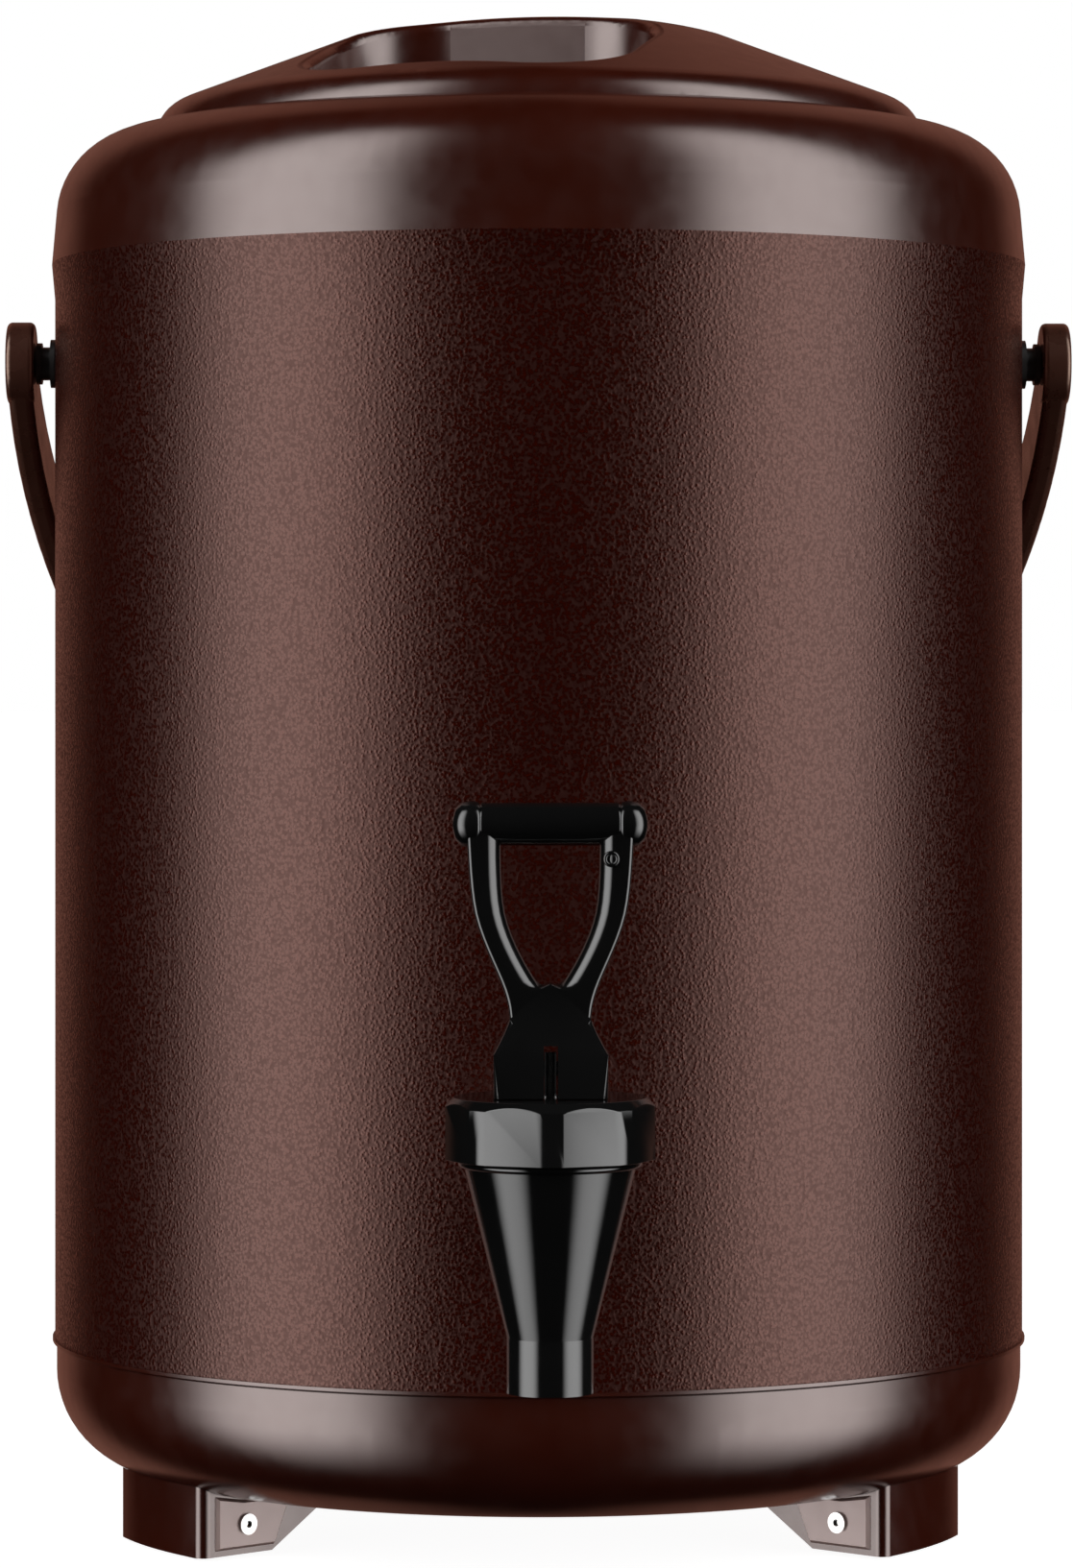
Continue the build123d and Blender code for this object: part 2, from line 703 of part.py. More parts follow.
# Bonnet: an eight-sided cap with flat corners and its top edge turned off, closing the valve chamber
bonnet_top_z = tap_top_z + bonnet_height
spigot_low_z = tap_top_z - bonnet_spigot_height
with BuildPart() as tap_bonnet:
    with BuildSketch(Plane.XY.offset(tap_top_z)) as bonnet_outline:
        with Locations((0, tap_y)):
            RegularPolygon(bonnet_radius, bonnet_sides)
        chamfer(bonnet_outline.vertices(), bonnet_corner)
    extrude(amount=bonnet_height)
    turn_outline(
        [
            (0, tap_top_z),
            (bonnet_radius, tap_top_z),
            (bonnet_radius, bonnet_top_z - bonnet_edge),
            (bonnet_radius - bonnet_edge, bonnet_top_z),
            (0, bonnet_top_z),
        ],
        mode=Mode.INTERSECT,
        y=tap_y,
    )
    post(chamber_radius - sweep_gap, 0, tap_y, spigot_low_z, tap_top_z)
    stem_hole_radius = stem_radius + running_gap
    post(stem_hole_radius, 0, tap_y, spigot_low_z - overrun, bonnet_top_z + overrun, mode=Mode.SUBTRACT)
finish(tap_bonnet, "tap_bonnet")

with BuildPart() as bonnet_seal:
    seal_section = box_outline(bonnet_seal_inner + seat_gap, seal_outer - seat_gap, groove_floor_z, tap_top_z)
    turn_outline(seal_section, y=tap_y)
finish(bonnet_seal, "bonnet_seal")

# Valve: a stem with a blade for the lever's pin, a soft cup on the seat and a spring that shuts it
pin_z = bonnet_top_z + pin_lift
cup_low_z = chamber_floor_z + seat_gap
cup_top_z = cup_low_z + cup_height
stem_low_z = cup_top_z - cup_socket_depth
stem_top_z = pin_z + stem_top_rise
with BuildPart() as valve_stem:
    post(stem_radius, 0, tap_y, stem_low_z, stem_top_z)
    with BuildSketch(Plane.XY.offset(pin_z - stem_blade_drop)):
        with Locations((0, tap_y)):
            Circle(stem_radius + overrun)
            Rectangle(stem_blade_thickness, 2 * (stem_radius + 2 * overrun), mode=Mode.SUBTRACT)
    extrude(amount=stem_blade_drop + stem_top_rise + overrun, mode=Mode.SUBTRACT)
    bar_along_x(pin_radius + seat_gap, -stem_radius, stem_radius, pin_z, mode=Mode.SUBTRACT, y=tap_y)
finish(valve_stem, "valve_stem")

with BuildPart() as seat_cup:
    post(cup_radius, 0, tap_y, cup_low_z, cup_top_z)
    post(stem_radius + seat_gap, 0, tap_y, stem_low_z, cup_top_z + overrun, mode=Mode.SUBTRACT)
finish(seat_cup, "seat_cup")

spring_low_z = cup_top_z + spring_wire_radius + seat_gap
spring_height = spigot_low_z - spring_wire_radius - seat_gap - spring_low_z
with BuildPart() as valve_spring:
    with BuildLine() as coil:
        Helix(
            pitch=spring_height / spring_turns,
            height=spring_height,
            radius=spring_radius,
            center=(0, tap_y, spring_low_z),
        )
    with BuildSketch(Plane(origin=coil.line @ 0, z_dir=coil.line % 0)):
        Circle(spring_wire_radius)
    sweep(path=coil.line)
finish(valve_spring, "valve_spring")

with BuildPart() as lever_pin:
    bar_along_x(pin_radius, -pin_length / 2, pin_length / 2, pin_z, y=tap_y)
finish(lever_pin, "lever_pin")

# Lever: a forked collar on the pin, a waist and two arms that spread to a round grip bar
lever_plane = Plane(origin=(0, tap_y, bonnet_top_z), x_dir=(1, 0, 0), z_dir=(0, -1, 0))
lever_side_plane = Plane(origin=(0, tap_y, bonnet_top_z), x_dir=(0, 1, 0), z_dir=(1, 0, 0))
arm_top = lever_bar_height + lever_bar_radius / 4
lever_arm_height = lever_neck_height + lever_arm_rise_share * (lever_bar_height - lever_neck_height)
slot_top = pin_lift + sqrt(stem_top_rise**2 + stem_radius**2) + sweep_gap
with BuildPart() as lever_bar:
    bar_half = lever_bar_length / 2
    bar_along_x(lever_bar_radius, -bar_half, bar_half, bonnet_top_z + lever_bar_height, y=tap_y)
    fillet(lever_bar.edges().filter_by(GeomType.CIRCLE), lever_bar_end)

with BuildPart() as tap_lever:
    with BuildSketch(lever_plane):
        with BuildLine():
            Polyline((0, lever_air), (lever_collar_half, lever_air), (lever_collar_half, lever_collar_height))
            Spline(
                (lever_collar_half, lever_collar_height),
                (lever_waist_half, lever_waist_height),
                (lever_neck_half, lever_neck_height),
                (lever_arm_half, lever_arm_height),
                (lever_head_half, arm_top),
                tangents=((0, 1), (0, 1)),
            )
            Line((lever_head_half, arm_top), (0, arm_top))
            mirror(about=Plane.YZ)
        make_face()
        with BuildLine():
            Spline(
                (0, loop_foot_height),
                (loop_foot_half, loop_foot_height + loop_foot_half / 3),
                (loop_side_half, lever_arm_height),
                (loop_head_half, arm_top),
                tangents=((1, 0), (0, 1)),
            )
            Line((loop_head_half, arm_top), (0, arm_top))
            mirror(about=Plane.YZ)
        make_face(mode=Mode.SUBTRACT)
        with Locations((lanyard_hole_side, lever_bar_height - lanyard_hole_drop)):
            Circle(lanyard_hole_radius, mode=Mode.SUBTRACT)
    extrude(amount=lever_collar_depth, both=True)
    with BuildSketch(lever_side_plane):
        with BuildLine():
            Polyline(
                (0, lever_air),
                (lever_collar_depth / 2, lever_air),
                (lever_collar_depth / 2, lever_collar_height),
                (lever_arm_depth / 2, lever_waist_height),
                (lever_arm_depth / 2, arm_top),
                (0, arm_top),
            )
            mirror(about=Plane.YZ)
        make_face()
    extrude(amount=lever_bar_length, both=True, mode=Mode.INTERSECT)
    add(lever_bar.part)
    with BuildSketch(lever_side_plane):
        with BuildLine():
            slot_half = lever_collar_depth / 2 + overrun
            Polyline(*box_outline(-slot_half, slot_half, -overrun, slot_top), close=True)
        make_face()
    extrude(amount=stem_blade_thickness / 2 + hole_gap, both=True, mode=Mode.SUBTRACT)
    pin_end = lever_collar_half + overrun
    bar_along_x(pin_radius + running_gap, -pin_end, pin_end, pin_z, mode=Mode.SUBTRACT, y=tap_y)
finish(tap_lever, "tap_lever")

# Lid: a moulded dome with two hand pockets and a bar between them
lid_foot_z = rim_z - lid_sink
lid_top_z = lid_foot_z + lid_height
lid_flange_top = lid_foot_z - seat_gap
lid_flange_low = lid_flange_top - lid_flange_thickness
plug_low = lid_flange_low - plug_depth
plug_floor = plug_low + plug_wall
pocket_floor_z = lid_foot_z + pocket_floor_lift
pocket_angle = front - lid_turn
bar_angles = [pocket_angle + 90, pocket_angle + 270]
boss_angles = [angle + turn for angle in bar_angles for turn in (-lid_boss_angle, lid_boss_angle)]
boss_points = [on_circle(lid_boss_reach, angle) for angle in boss_angles]
vent_x, vent_y = on_circle(pocket_reach, pocket_angle + 180)


def dome(reach, top, foot, mode=Mode.ADD):
    """Turned dome: a flat crown, a cone and a rounded edge that stands on the foot."""
    with BuildSketch(Plane.XZ) as section:
        with BuildLine():
            crown_end = (reach * crown_reach_share, top - lid_height * crown_drop_share)
            crown = TangentArc((0, top), crown_end, tangent=(1, 0))
            edge_end = (reach * crown_edge_reach_share, top - lid_height * crown_edge_drop_share)
            crown_edge = TangentArc(crown @ 1, edge_end, tangent=crown % 1)
            cone = Line(crown_edge @ 1, (reach * cone_reach_share, top - lid_height * cone_drop_share))
            rounding = TangentArc(cone @ 1, (reach, top - lid_height * rim_drop_share), tangent=cone % 1)
            Polyline(rounding @ 1, (reach, foot), (0, foot), (0, top))
        make_face()
    revolve(section.sketch, axis=Axis.Z, mode=mode)


def pockets(margin, low, mode=Mode.ADD):
    """Two round-cornered wells, front and back of the hand bar, from a floor up past the dome."""
    with BuildSketch(Plane.XY.offset(low)) as wells:
        with PolarLocations(pocket_reach, 2, start_angle=pocket_angle):
            RectangleRounded(pocket_length + 2 * margin, pocket_width + 2 * margin, pocket_corner + margin)
    extrude(wells.sketch, amount=lid_top_z + overrun - low, mode=mode)


with BuildPart() as lid_inside:
    pockets(pocket_wall, pocket_floor_z - pocket_wall)
    for x, y in boss_points:
        post(lid_boss_radius, x, y, plug_floor, lid_top_z)
    dome(lid_radius, lid_top_z, plug_low, mode=Mode.INTERSECT)

with BuildPart() as lid_cover:
    dome(lid_radius, lid_top_z, lid_foot_z)
    dome(lid_radius - lid_wall, lid_top_z - lid_wall, lid_foot_z - lid_wall - overrun, mode=Mode.SUBTRACT)
    add(lid_inside.part)
    pockets(0, pocket_floor_z, mode=Mode.SUBTRACT)
    upright_walls = lid_cover.faces().filter_by(lambda wall: abs(wall.normal_at().Z) < upright_slope)
    pocket_walls = upright_walls.filter_by(lambda wall: wall.bounding_box().min.Z > pocket_floor_z - seat_gap)
    rim_low = pocket_floor_z + pocket_rim
    rim_edges = pocket_walls.edges().filter_by(lambda edge: edge.bounding_box().min.Z > rim_low)
    fillet(rim_edges, pocket_rim)
    screw_hole_top = plug_floor + lid_screw_length
    for x, y in boss_points:
        post(lid_screw_radius + seat_gap, x, y, plug_floor - overrun, screw_hole_top, Mode.SUBTRACT)
    post(vent_radius + seat_gap, vent_x, vent_y, plug_low, pocket_floor_z + overrun, mode=Mode.SUBTRACT)
finish(lid_cover, "lid_cover")

# Lid liner: the plug that reaches into the barrel's neck, with lugs that turn under the neck's ledges
lug_top = seat_z - ledge_height - sweep_gap
lug_outline = box_outline(plug_bore, neck_radius - 1.5 * sweep_gap, lug_top - lug_height, lug_top)
flange_edge = lid_radius - lid_wall - 2 * seat_gap
with BuildPart() as lid_liner:
    turn_outline(
        [
            (0, plug_low),
            (plug_radius, plug_low),
            (plug_radius, lid_flange_low),
            (flange_edge, lid_flange_low),
            (flange_edge, lid_flange_top),
            (plug_bore, lid_flange_top),
            (plug_bore, plug_floor),
            (0, plug_floor),
        ]
    )
    for step in range(bayonet_count):
        turn_outline(lug_outline, lid_turn + step * 360.0 / bayonet_count - lug_span / 2, lug_span)
    for x, y in boss_points:
        post(lid_screw_radius + hole_gap, x, y, plug_low - overrun, plug_floor + overrun, mode=Mode.SUBTRACT)
    post(vent_radius + seat_gap, vent_x, vent_y, plug_low - overrun, plug_floor + overrun, mode=Mode.SUBTRACT)
finish(lid_liner, "lid_liner")

with BuildPart() as lid_foam:
    post(plug_bore - hole_gap, 0, 0, plug_floor, pocket_floor_z - pocket_wall - hole_gap)
    for x, y in boss_points:
        post(lid_boss_radius + hole_gap, x, y, plug_floor - overrun, lid_top_z, mode=Mode.SUBTRACT)
    post(vent_radius + hole_gap, vent_x, vent_y, plug_floor - overrun, lid_top_z, mode=Mode.SUBTRACT)
finish(lid_foam, "lid_foam")

with BuildPart() as lid_screws:
    for x, y in boss_points:
        post(lid_screw_head_radius, x, y, plug_low - lid_screw_head_height, plug_low)
        post(lid_screw_radius, x, y, plug_low, screw_hole_top - seat_gap)
finish(lid_screws, "lid_screws")

# Breather that lets air in through the rear pocket while the tap runs
with BuildPart() as vent_valve:
    post(vent_flange_radius, vent_x, vent_y, plug_low - vent_flange_height, plug_low)
    post(vent_radius, vent_x, vent_y, plug_low, pocket_floor_z)
    vent_low = plug_low - vent_flange_height - overrun
    post(vent_bore_radius, vent_x, vent_y, vent_low, pocket_floor_z + overrun, mode=Mode.SUBTRACT)
finish(vent_valve, "vent_valve")

with BuildPart() as lid_gasket:
    gasket_inner = neck_radius + 2 * sweep_gap
    gasket_low = seat_z + seat_gap
    gasket_high = lid_flange_low - seat_gap
    turn_outline(box_outline(gasket_inner, gasket_inner + lid_gasket_width, gasket_low, gasket_high))
finish(lid_gasket, "lid_gasket")
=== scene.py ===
# %% [markdown]
# # Dressing an insulated drink barrel
# The barrel arrives as a set of exact solids in metres, each one riding on a body that its joints can
# move. This lesson gives every surface its finish, and re-models the few pieces whose edges a solid
# leaves too sharp: the tap's lever and bonnet, the feet and their end plates. The valve's spring is
# copied into a mesh of its own. Nothing is moved or resized.

# %% Load the frame
import json
from math import cos, pi, radians, sin

import bmesh
import bpy
from mathutils import Matrix, Vector
from mathutils.geometry import interpolate_bezier


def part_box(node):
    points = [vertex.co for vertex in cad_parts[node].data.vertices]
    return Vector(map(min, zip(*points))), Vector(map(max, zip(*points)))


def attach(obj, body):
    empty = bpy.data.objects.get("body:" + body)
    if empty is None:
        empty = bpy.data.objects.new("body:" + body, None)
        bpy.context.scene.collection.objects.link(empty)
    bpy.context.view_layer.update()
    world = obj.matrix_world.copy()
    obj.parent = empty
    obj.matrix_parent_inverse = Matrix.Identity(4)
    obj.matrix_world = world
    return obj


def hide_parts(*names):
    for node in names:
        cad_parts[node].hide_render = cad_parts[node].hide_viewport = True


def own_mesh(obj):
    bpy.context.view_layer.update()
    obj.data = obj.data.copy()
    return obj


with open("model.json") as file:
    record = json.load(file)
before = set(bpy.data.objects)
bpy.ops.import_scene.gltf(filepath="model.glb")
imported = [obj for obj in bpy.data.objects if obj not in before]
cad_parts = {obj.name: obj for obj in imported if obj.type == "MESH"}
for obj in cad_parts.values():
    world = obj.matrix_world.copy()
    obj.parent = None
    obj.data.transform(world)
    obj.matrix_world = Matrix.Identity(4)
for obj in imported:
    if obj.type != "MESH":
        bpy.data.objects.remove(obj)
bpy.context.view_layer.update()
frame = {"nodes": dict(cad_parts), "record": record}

nodes = frame["nodes"]

# %% [markdown]
# ## Sizes that the lesson shares
# A few places are read from the solids, so that the new pieces follow them. The barrel's axis is Z, and
# the tap hangs on an axis of its own in front of it. The new pieces are drawn in millimetres, as a
# workshop drawing would be, and one factor turns them into metres.

# %% Places read from the solids
MM = 0.001
bonnet_low, bonnet_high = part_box("tap_bonnet")
tap_y = (bonnet_low.y + bonnet_high.y) / 2
bonnet_top = bonnet_high.z
print("tap axis at y", round(tap_y, 4), "bonnet top at z", round(bonnet_top, 4))

# %% [markdown]
# ## Helpers for finishes
# A finish is a principled shader with a little procedural unevenness. Every pattern reads Object
# coordinates, which are metres here, so a noise scale of 600 means about 600 features to the metre, or
# 1.7 mm each. A picture wrapped round the piece would need a UV map, and would show its seam.


# %% Material helpers
finishes = {}


def start_finish(name):
    """A new material, its node tree and its principled shader."""
    material = bpy.data.materials.new(name)
    material.use_nodes = True
    tree = material.node_tree
    return material, tree, tree.nodes["Principled BSDF"]


def add_node(tree, kind, inputs=None, **settings):
    """One node, with its settings and the values of its sockets."""
    node = tree.nodes.new(kind)
    for key, value in settings.items():
        setattr(node, key, value)
    for key, value in (inputs or {}).items():
        node.inputs[key].default_value = value
    return node


def place_of(tree):
    """Object coordinates: the point of the surface, in metres."""
    return add_node(tree, "ShaderNodeTexCoord").outputs["Object"]


def noise(tree, place, scale, detail=3.0, roughness=0.5):
    """A soft noise of so many features to the metre."""
    inputs = {"Scale": scale, "Detail": detail, "Roughness": roughness}
    node = add_node(tree, "ShaderNodeTexNoise", inputs)
    tree.links.new(place, node.inputs["Vector"])
    return node.outputs["Fac"]


print("finishes so far:", len(finishes))


# %% Patterns into colours, numbers and bumps
def between(tree, factor, low, high, start=0.3, end=0.7):
    """A colour that runs from low to high as the factor runs from start to end."""
    node = add_node(tree, "ShaderNodeValToRGB")
    first, last = node.color_ramp.elements
    first.position, first.color = start, (*low, 1.0)
    last.position, last.color = end, (*high, 1.0)
    tree.links.new(factor, node.inputs["Fac"])
    return node.outputs["Color"]


def spread(tree, factor, low, high, start=0.3, end=0.7):
    """A number that runs from low to high as the factor runs from start to end."""
    ends = {"From Min": start, "From Max": end, "To Min": low, "To Max": high}
    node = add_node(tree, "ShaderNodeMapRange", ends)
    tree.links.new(factor, node.inputs["Value"])
    return node.outputs["Result"]


def bump(tree, height, strength, distance):
    """A bump from a height pattern; distance is in metres."""
    node = add_node(tree, "ShaderNodeBump", {"Strength": strength, "Distance": distance})
    tree.links.new(height, node.inputs["Height"])
    return node.outputs["Normal"]


print("a pattern can now give a colour, a number or a bump")

# %% [markdown]
# ## The shell's coat
# The shell is sheet metal under a baked brown coat with a fine pebble grain. Each pebble is about a
# millimetre across and catches the light on its crown. A cell pattern alone looks like scales and a
# noise alone looks like leather, so the height is one taken from the other. The hollows between the
# pebbles are duller than their crowns, and their colour is darker: painted shade in the hollows and a
# painted highlight on the crowns. The coat's pigment also warms its gloss, which the specular tint gives.

# %% Coat of the shell
LACQUER_IOR = 1.8
COAT_TINT = (1.0, 0.58, 0.5, 1.0)
PEBBLES_PER_METRE, WANDER_PER_METRE = 980.0, 1250.0
GRAIN_STRENGTH, GRAIN_DEPTH = 0.28, 0.0003
# The hollows' darker brown is painted shade, and the crowns' lighter brown is a painted highlight.
SHADED_HOLLOW_BROWN, LIT_CROWN_BROWN = (0.024, 0.0014, 0.0002), (0.056, 0.004, 0.0006)
HOLLOW_ROUGH, CROWN_ROUGH = 0.42, 0.14


def make_brown_coat():
    """Grained brown coat on sheet metal."""
    material, tree, shader = start_finish("brown_coat")
    shader.inputs["IOR"].default_value = LACQUER_IOR
    shader.inputs["Specular Tint"].default_value = COAT_TINT
    place = place_of(tree)
    pebbles = add_node(tree, "ShaderNodeTexVoronoi", {"Scale": PEBBLES_PER_METRE})
    tree.links.new(place, pebbles.inputs["Vector"])
    taken = add_node(tree, "ShaderNodeMath", operation="SUBTRACT")
    tree.links.new(noise(tree, place, WANDER_PER_METRE, detail=1.0), taken.inputs[0])
    tree.links.new(pebbles.outputs["Distance"], taken.inputs[1])
    height = taken.outputs[0]
    # Colour from the height: painted shade in the hollows, a painted highlight on the crowns.
    colour = between(tree, height, SHADED_HOLLOW_BROWN, LIT_CROWN_BROWN, start=0.0, end=0.4)
    dullness = spread(tree, height, HOLLOW_ROUGH, CROWN_ROUGH, start=-0.25, end=0.3)
    tree.links.new(bump(tree, height, GRAIN_STRENGTH, GRAIN_DEPTH), shader.inputs["Normal"])
    tree.links.new(colour, shader.inputs["Base Color"])
    tree.links.new(dullness, shader.inputs["Roughness"])
    return material


finishes["brown_coat"] = make_brown_coat()
print("coat:", finishes["brown_coat"].name)

# %% [markdown]
# ## Gloss plastics
# The lid, shoulder and base are one gloss brown moulding compound, and the tap is gloss black. A moulded
# skin is never a perfect mirror: it has a faint long waviness, and its gloss varies a little from place
# to place. A clear coat over a dull base could give the shine too, but one layer with a tinted
# reflection is simpler to tune against the light.

# %% Gloss brown and gloss black
CLOUDS_PER_METRE, POLISH_PER_METRE, RIPPLES_PER_METRE = 25.0, 140.0, 90.0
RIPPLE_DEPTH = 0.0004


def make_gloss(name, low, high, polish, ripple, tint=(1.0, 1.0, 1.0), shine=1.0):
    """Moulded plastic: colours, roughness range, strength of its waves, tint and level of its gloss."""
    material, tree, shader = start_finish(name)
    shader.inputs["IOR"].default_value = LACQUER_IOR
    shader.inputs["Specular IOR Level"].default_value = shine
    shader.inputs["Specular Tint"].default_value = (*tint, 1.0)
    place = place_of(tree)
    colour = between(tree, noise(tree, place, CLOUDS_PER_METRE), low, high)
    dullness = spread(tree, noise(tree, place, POLISH_PER_METRE), *polish)
    waves = noise(tree, place, RIPPLES_PER_METRE, detail=1.0)
    tree.links.new(colour, shader.inputs["Base Color"])
    tree.links.new(dullness, shader.inputs["Roughness"])
    tree.links.new(bump(tree, waves, ripple, RIPPLE_DEPTH), shader.inputs["Normal"])
    return material


finishes["gloss_brown"] = make_gloss(
    "gloss_brown", (0.052, 0.006, 0.0015), (0.064, 0.0075, 0.002), (0.2, 0.26), 0.02, (1.0, 0.87, 0.84)
)
finishes["bail_brown"] = make_gloss(
    "bail_brown", (0.09, 0.03, 0.018), (0.13, 0.045, 0.03), (0.24, 0.32), 0.01, (1.0, 0.72, 0.58)
)
# The end plates are pale partly in their own colour and partly as a painted reflection of the side light.
finishes["plate_brown"] = make_gloss(
    "plate_brown", (0.44, 0.3, 0.27), (0.54, 0.38, 0.35), (0.28, 0.36), 0.03, (1.0, 0.86, 0.84)
)
finishes["gloss_black"] = make_gloss(
    "gloss_black", (0.006, 0.006, 0.006), (0.01, 0.01, 0.01), (0.08, 0.13), 0.02, shine=0.6
)
finishes["stud_black"] = make_gloss(
    "stud_black", (0.014, 0.012, 0.012), (0.024, 0.02, 0.02), (0.32, 0.42), 0.03
)
print("finishes so far:", ", ".join(finishes))

# %% [markdown]
# ## Metals
# Screws are bright, and the tank is brushed round its axis. Brushing is a noise that is squeezed along
# the direction across the marks, so a Mapping node scales the place before the noise reads it.

# %% Steel of the tank and the screws
MARKS_PER_METRE, MARK_SHADE, MARK_STRENGTH, MARK_DEPTH = 100.0, 0.82, 0.12, 0.0001


def make_metal(name, colour, polish, brush):
    """Steel with fine marks; brush stretches the marks round or along the piece."""
    material, tree, shader = start_finish(name)
    shader.inputs["Metallic"].default_value = 1.0
    stretch = add_node(tree, "ShaderNodeMapping", {"Scale": brush})
    tree.links.new(place_of(tree), stretch.inputs["Vector"])
    marks = noise(tree, stretch.outputs["Vector"], MARKS_PER_METRE, detail=4.0)
    darker = tuple(MARK_SHADE * part for part in colour)
    tree.links.new(between(tree, marks, darker, colour), shader.inputs["Base Color"])
    tree.links.new(spread(tree, marks, *polish), shader.inputs["Roughness"])
    tree.links.new(bump(tree, marks, MARK_STRENGTH, MARK_DEPTH), shader.inputs["Normal"])
    return material


finishes["tank_steel"] = make_metal("tank_steel", (0.8, 0.79, 0.78), (0.34, 0.44), (1.0, 1.0, 12.0))
finishes["screw_steel"] = make_metal("screw_steel", (0.85, 0.84, 0.83), (0.12, 0.2), (4.0, 4.0, 4.0))
print("finishes so far:", ", ".join(finishes))

# %% [markdown]
# ## Rubber, silicone, foam and liner
# The seals, the foam and the lid's liner are mostly hidden, but the lid lifts off and the tank can be
# looked into, so they get a finish too. All of them are dull with a fine grain, so one function with a
# colour range, a roughness and a grain size serves for the four.

# %% Soft finishes
SPECK_STRENGTH, ROUGH_SPREAD = 0.3, 0.05


def make_soft(name, low, high, rough, grain, depth):
    """Rubber, silicone, foam or plain plastic with a fine grain."""
    material, tree, shader = start_finish(name)
    specks = noise(tree, place_of(tree), grain, detail=4.0)
    dullness = spread(tree, specks, rough - ROUGH_SPREAD, rough + ROUGH_SPREAD)
    tree.links.new(between(tree, specks, low, high), shader.inputs["Base Color"])
    tree.links.new(dullness, shader.inputs["Roughness"])
    tree.links.new(bump(tree, specks, SPECK_STRENGTH, depth), shader.inputs["Normal"])
    return material


finishes["foam"] = make_soft("foam", (0.62, 0.52, 0.3), (0.75, 0.66, 0.45), 0.9, 700.0, 0.0008)
finishes["black_rubber"] = make_soft(
    "black_rubber", (0.008, 0.0075, 0.0075), (0.016, 0.015, 0.015), 0.7, 900.0, 0.0002
)
finishes["silicone"] = make_soft("silicone", (0.6, 0.58, 0.55), (0.7, 0.68, 0.65), 0.5, 500.0, 0.0001)
finishes["liner_white"] = make_soft(
    "liner_white", (0.7, 0.68, 0.63), (0.78, 0.76, 0.72), 0.42, 200.0, 0.0001
)
print("finishes:", ", ".join(finishes))

# %% [markdown]
# ## Every solid gets its finish
# The record says which finish each solid takes, so one loop dresses them all. Naming the finish of each
# solid here as well would only give two lists that could drift apart.

# %% Dress the solids
slots = {row["node"]: row["material_slot"] for row in frame["record"]["subparts"]}
for name, node in nodes.items():
    node.data.materials.clear()
    node.data.materials.append(finishes[slots[name]])
print("dressed", len(nodes), "solids")

# %% [markdown]
# ## From a mesh to a piece
# A finished piece is an object at the origin with its place in its mesh. It rides on a body of the
# frame, it may stand for a solid, and it says which finish of the record it wears. Faces are shaded
# smooth, and edges sharper than a given angle stay sharp. A smooth corner would tilt the light on the
# flat faces beside it, so the normals are weighed by the squared area of the faces and kept in the mesh.
# Blender's weighted normal modifier does much the same.

# %% Make a piece
MERGE_REACH = 0.005 * MM


def weigh_normals(data, crisp):
    """Normals that large faces rule: each corner takes the faces there within an angle, by squared area."""
    limit = cos(radians(crisp))
    around = [[] for _ in data.vertices]
    for face in data.polygons:
        for vert in face.vertices:
            around[vert].append(face)
    normals = []
    for face in data.polygons:
        for vert in face.vertices:
            total = Vector()
            for other in around[vert]:
                if other.normal.dot(face.normal) > limit:
                    total += (other.area / MM**2) ** 2 * other.normal
            normals.append(total.normalized())
    data.normals_split_custom_set(normals)


def make_piece(mesh, name, body, slot, crisp=35.0, instead_of=None):
    """Turn a bmesh into an object that rides on a body and wears a finish."""
    bmesh.ops.remove_doubles(mesh, verts=mesh.verts, dist=MERGE_REACH)
    bmesh.ops.recalc_face_normals(mesh, faces=mesh.faces)
    for face in mesh.faces:
        face.smooth = True
    data = bpy.data.meshes.new(name)
    mesh.to_mesh(data)
    mesh.free()
    weigh_normals(data, crisp)
    data.materials.append(finishes[slot])
    piece = bpy.data.objects.new(name, data)
    bpy.context.collection.objects.link(piece)
    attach(piece, body)
    if instead_of:
        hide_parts(instead_of)
    print(name, "faces:", len(piece.data.polygons))
    return piece


print("points closer than", MERGE_REACH / MM, "mm are merged in a piece")

# %% [markdown]
# ## Softened edges
# A moulded or cast edge is never a perfect corner: it has a small radius that catches a line of light,
# and those lines tell the eye where the faces of the bonnet and the feet meet. A Bevel modifier would
# stumble over the solid's loose triangles. So a copy of the solid is merged, its flat triangles are
# joined into whole faces, and each edge that turns sharply outwards is bevelled.

# %% Soften the edges of some solids
FLAT_WITHIN, CORNER_TURN = radians(0.5), radians(30.0)


def is_outward_corner(edge):
    """Whether two faces meet at an edge and turn sharply outwards there."""
    return edge.is_manifold and edge.is_convex and edge.calc_face_angle() > CORNER_TURN


def soften(name, body, slot, radius):
    """A copy of a solid whose outward corners have a small radius, in millimetres."""
    mesh = bmesh.new()
    mesh.from_mesh(nodes[name].data)
    bmesh.ops.remove_doubles(mesh, verts=mesh.verts, dist=MERGE_REACH)
    bmesh.ops.dissolve_limit(mesh, angle_limit=FLAT_WITHIN, verts=mesh.verts, edges=mesh.edges)
    bmesh.ops.bevel(
        mesh,
        geom=[edge for edge in mesh.edges if is_outward_corner(edge)],
        offset=radius * MM,
        offset_type="OFFSET",
        affect="EDGES",
        segments=3,
        profile=0.5,
        material=-1,
        clamp_overlap=True,
    )
    return make_piece(mesh, name + "_soft", body, slot, instead_of=name)


soften("tap_bonnet", "barrel", "gloss_black", 0.8)
for corner in ("front_left", "front_right", "rear"):
    soften("foot_" + corner, "barrel", "gloss_brown", 0.5)
soften("foot_end_plates", "barrel", "plate_brown", 0.5)

# %% [markdown]
# ## The lever
# The lever is one black moulding: a forked collar on the valve stem, a waist, and two arms with a round
# section that spread to a grip bar. The solid has the outline but flat faces. Here half the collar's
# outline is drawn, mirrored and extruded, and its depth follows its height. Its curves run through a few
# points, so that the drawing stays short.


